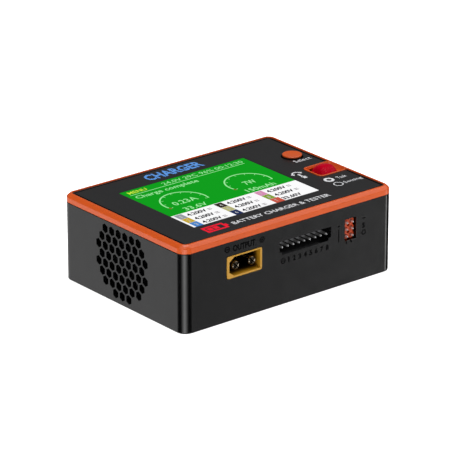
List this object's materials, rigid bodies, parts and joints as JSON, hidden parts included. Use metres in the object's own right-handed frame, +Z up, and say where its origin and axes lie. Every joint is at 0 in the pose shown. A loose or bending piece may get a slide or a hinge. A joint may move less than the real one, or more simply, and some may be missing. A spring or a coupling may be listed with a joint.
{
  "type": "balance battery charger",
  "caption": "Compact desktop balance charger: black vented case with an orange rim, colour screen, push button, press-and-turn roller and battery sockets.",
  "frame": {"origin": "centre of the underside, on the surface it stands on", "axes": "+X along the front face to the right, +Y from the front connectors to the back, +Z up; the fan grille faces -X"},
  "size_m": [0.0948, 0.068, 0.0338],
  "materials": {
    "case_black": "fine matt moulded grain",
    "bezel_orange": "satin moulded",
    "panel_dark": "fine matt print",
    "screen": "clear lens over a lit colour display",
    "module_white": "moulded",
    "roller_crimson": "glossy moulded",
    "steel": "bright",
    "board_green": "solder mask",
    "heatsink_metal": "mill finish",
    "ferrite": "pressed powder",
    "capacitor_sleeve": "shrink sleeve",
    "connector_yellow": "satin nylon",
    "contact_gold": "gold plated",
    "header_red": "moulded",
    "contact_tin": "tin plated",
    "black_plastic": "moulded"
  },
  "bodies": {
    "charger": {"balance_pin_1": "contact_tin", "balance_pin_2": "contact_tin", "balance_pin_3": "contact_tin", "balance_pin_4": "contact_tin", "balance_pin_5": "contact_tin", "balance_pin_6": "contact_tin", "balance_pin_7": "contact_tin", "balance_pin_8": "contact_tin", "balance_pin_9": "contact_tin", "balance_shell": "black_plastic", "button_switch": "black_plastic", "buzzer": "black_plastic", "capacitor_1": "capacitor_sleeve", "capacitor_2": "capacitor_sleeve", "case_screw_1": "steel", "case_screw_2": "steel", "case_screw_3": "steel", "case_screw_4": "steel", "choke_1": "ferrite", "choke_2": "ferrite", "control_board": "board_green", "control_link": "black_plastic", "controller_chip": "black_plastic", "display_board": "board_green", "display_link": "black_plastic", "fan_frame": "black_plastic", "header_pin_1": "contact_tin", "header_pin_2": "contact_tin", "header_pin_3": "contact_tin", "header_pin_4": "contact_tin", "header_pin_5": "contact_tin", "header_pin_6": "contact_tin", "header_shell": "header_red", "heatsink": "heatsink_metal", "input_pin_1": "contact_gold", "input_pin_2": "contact_gold", "input_shell": "connector_yellow", "lower_case": "case_black", "main_board": "board_green", "output_pin_1": "contact_gold", "output_pin_2": "contact_gold", "output_shell": "connector_yellow", "roller_switch": "black_plastic", "screen_glass": "screen", "screen_module": "module_white", "top_bezel": "bezel_orange", "top_panel": "panel_dark", "transistor_1": "black_plastic", "transistor_2": "black_plastic", "transistor_3": "black_plastic", "transistor_4": "black_plastic"},
    "button": {"button_cap": "bezel_orange", "button_plunger": "black_plastic"},
    "roller_bracket": {"roller_carrier": "steel", "roller_encoder": "black_plastic", "roller_plunger": "black_plastic"},
    "roller": {"roller_wheel": "roller_crimson", "roller_axle": "steel"},
    "fan": {"fan_rotor": "black_plastic", "fan_shaft": "steel"}
  },
  "joints": [
    {"name": "button_press", "type": "slide", "parent": "charger", "child": "button", "axis": [0, 0, -1], "range_m": [0, 0.0005], "stiffness_N_per_m": 800},
    {"name": "roller_press", "type": "slide", "parent": "charger", "child": "roller_bracket", "axis": [0, 0, -1], "range_m": [0, 0.0004], "stiffness_N_per_m": 1200},
    {"name": "roller_turn", "type": "hinge", "parent": "roller_bracket", "child": "roller", "pos_m": [0.0388, -0.0062, 0.02885], "axis": [1, 0, 0], "continuous": true},
    {"name": "fan_spin", "type": "hinge", "parent": "charger", "child": "fan", "pos_m": [-0.0404, 0.0003, 0.0161], "axis": [1, 0, 0], "continuous": true}
  ]
}
